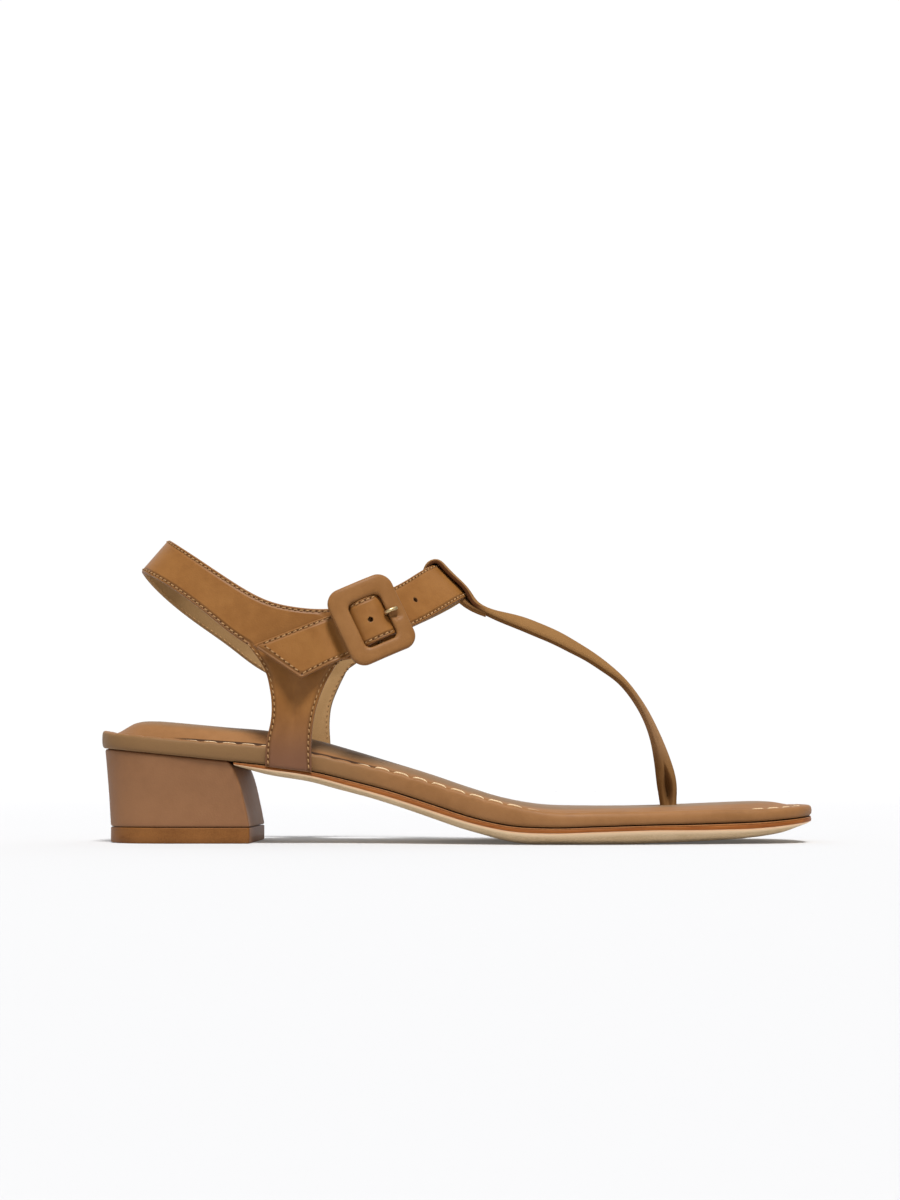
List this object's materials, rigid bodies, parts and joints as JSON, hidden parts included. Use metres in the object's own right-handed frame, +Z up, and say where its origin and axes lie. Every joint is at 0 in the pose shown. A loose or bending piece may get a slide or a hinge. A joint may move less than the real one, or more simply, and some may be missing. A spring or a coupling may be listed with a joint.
{
  "type": "heeled sandal",
  "caption": "Tan leather T-strap thong sandal with a slingback, a covered buckle, a padded stitched footbed and a low block heel.",
  "frame": {"origin": "on the floor, under the middle of the bounding box", "axes": "+X from heel to toe, +Y to the inner side of the foot, +Z up"},
  "size_m": [0.249, 0.083, 0.1065],
  "materials": {
    "footbed_leather": "smooth tan leather over soft padding, stitched along the rim",
    "sole_leather": "natural leather with a burnished warm edge",
    "heel_leather": "smooth brown leather cover",
    "lift_rubber": "dull brown",
    "strap_leather": "smooth tan leather with a pale lining and close edge stitching",
    "buckle_leather": "tan leather wrapped over a frame",
    "prong_metal": "polished pale gold"
  },
  "bodies": {
    "root": {"footbed": "footbed_leather", "outsole": "sole_leather", "heel_block": "heel_leather", "heel_lift": "lift_rubber", "upper": "strap_leather", "buckle_frame": "buckle_leather", "buckle_prong": "prong_metal"}
  },
  "joints": []
}
